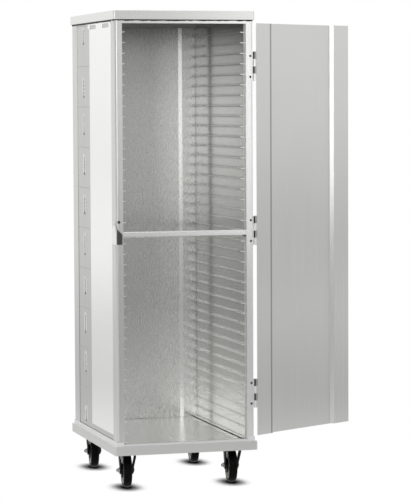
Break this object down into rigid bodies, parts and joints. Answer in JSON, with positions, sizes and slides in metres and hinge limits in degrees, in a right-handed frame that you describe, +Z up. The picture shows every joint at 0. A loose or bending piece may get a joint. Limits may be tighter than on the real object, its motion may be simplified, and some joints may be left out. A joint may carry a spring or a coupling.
{
  "type": "enclosed meal tray cart",
  "caption": "Tall enclosed aluminium tray cart on swivel casters, its open door swung back past the side wall and rows of tray ledges along both inner walls.",
  "frame": {"origin": "on the floor, under the centre of the cabinet's plan", "axes": "+Z up, -Y out of the door opening, +X to the right of someone facing the opening"},
  "size_m": [0.9838, 0.7078, 1.7409],
  "materials": {
    "frame_aluminium": "mill finish extrusion, softly brushed",
    "ledge_aluminium": "bright extruded ledges and planks",
    "sheet_aluminium": "smooth formed sheet",
    "cover_sheet": "bright smooth sheet",
    "bright_steel": "bright hinge and latch steel",
    "black_pad": "black strike pad",
    "caster_steel": "black caster steel",
    "wheel_rubber": "dark rubber tread on a grey core"
  },
  "bodies": {
    "cabinet": {"base_frame": "frame_aluminium", "deck": "sheet_aluminium", "cross_channel_front": "frame_aluminium", "cross_channel_rear": "frame_aluminium", "post_front_left": "frame_aluminium", "post_front_right": "frame_aluminium", "post_rear_left": "frame_aluminium", "post_rear_right": "frame_aluminium", "plank_left_1": "ledge_aluminium", "plank_left_2": "ledge_aluminium", "plank_left_3": "ledge_aluminium", "plank_left_4": "ledge_aluminium", "plank_left_5": "ledge_aluminium", "plank_left_6": "ledge_aluminium", "plank_left_7": "ledge_aluminium", "plank_left_8": "ledge_aluminium", "plank_left_9": "ledge_aluminium", "plank_left_10": "ledge_aluminium", "plank_right_1": "ledge_aluminium", "plank_right_2": "ledge_aluminium", "plank_right_3": "ledge_aluminium", "plank_right_4": "ledge_aluminium", "plank_right_5": "ledge_aluminium", "plank_right_6": "ledge_aluminium", "plank_right_7": "ledge_aluminium", "plank_right_8": "ledge_aluminium", "plank_right_9": "ledge_aluminium", "plank_right_10": "ledge_aluminium", "top_rail_left": "frame_aluminium", "top_rail_right": "frame_aluminium", "header_front": "frame_aluminium", "header_rear": "frame_aluminium", "cap": "sheet_aluminium", "mid_bar": "frame_aluminium", "back_panel": "sheet_aluminium", "side_cover_left": "cover_sheet", "side_cover_right": "cover_sheet", "keeper": "bright_steel", "strike_pad": "black_pad", "hinge_post_leaf_1": "bright_steel", "hinge_post_leaf_2": "bright_steel", "hinge_post_leaf_3": "bright_steel", "caster_plate_front_left": "caster_steel", "caster_plate_front_right": "caster_steel", "caster_plate_rear_left": "caster_steel", "caster_plate_rear_right": "caster_steel"},
    "door": {"hinge_door_leaf_1": "bright_steel", "hinge_door_leaf_2": "bright_steel", "hinge_door_leaf_3": "bright_steel", "door_panel": "sheet_aluminium", "latch_plate": "bright_steel"},
    "latch_lever": {"latch_lever": "bright_steel"},
    "fork_front_left": {"fork_front_left": "caster_steel"},
    "wheel_front_left": {"wheel_front_left": "wheel_rubber"},
    "fork_front_right": {"fork_front_right": "caster_steel"},
    "wheel_front_right": {"wheel_front_right": "wheel_rubber"},
    "fork_rear_left": {"fork_rear_left": "caster_steel"},
    "wheel_rear_left": {"wheel_rear_left": "wheel_rubber"},
    "fork_rear_right": {"fork_rear_right": "caster_steel"},
    "wheel_rear_right": {"wheel_rear_right": "wheel_rubber"}
  },
  "joints": [
    {"name": "door_hinge", "type": "hinge", "parent": "cabinet", "child": "door", "pos_m": [0.2635, -0.3445, 0.94275], "axis": [0, 0, 1], "range_deg": [-210, 40]},
    {"name": "latch_pivot", "type": "hinge", "parent": "door", "child": "latch_lever", "pos_m": [0.68328, -0.10098, 0.95475], "axis": [0.5, -0.866, 0], "range_deg": [-45, 5]},
    {"name": "swivel_front_left", "type": "hinge", "parent": "cabinet", "child": "fork_front_left", "pos_m": [-0.201, -0.2554, 0.15], "axis": [0, 0, 1], "continuous": true},
    {"name": "spin_front_left", "type": "hinge", "parent": "fork_front_left", "child": "wheel_front_left", "pos_m": [-0.19604, -0.21773, 0.0635], "axis": [0.9914, -0.1305, 0], "continuous": true},
    {"name": "swivel_front_right", "type": "hinge", "parent": "cabinet", "child": "fork_front_right", "pos_m": [0.201, -0.2554, 0.15], "axis": [0, 0, 1], "continuous": true},
    {"name": "spin_front_right", "type": "hinge", "parent": "fork_front_right", "child": "wheel_front_right", "pos_m": [0.20596, -0.21773, 0.0635], "axis": [0.9914, -0.1305, 0], "continuous": true},
    {"name": "swivel_rear_left", "type": "hinge", "parent": "cabinet", "child": "fork_rear_left", "pos_m": [-0.201, 0.2554, 0.15], "axis": [0, 0, 1], "continuous": true},
    {"name": "spin_rear_left", "type": "hinge", "parent": "fork_rear_left", "child": "wheel_rear_left", "pos_m": [-0.19604, 0.29307, 0.0635], "axis": [0.9914, -0.1305, 0], "continuous": true},
    {"name": "swivel_rear_right", "type": "hinge", "parent": "cabinet", "child": "fork_rear_right", "pos_m": [0.201, 0.2554, 0.15], "axis": [0, 0, 1], "continuous": true},
    {"name": "spin_rear_right", "type": "hinge", "parent": "fork_rear_right", "child": "wheel_rear_right", "pos_m": [0.20596, 0.29307, 0.0635], "axis": [0.9914, -0.1305, 0], "continuous": true}
  ]
}
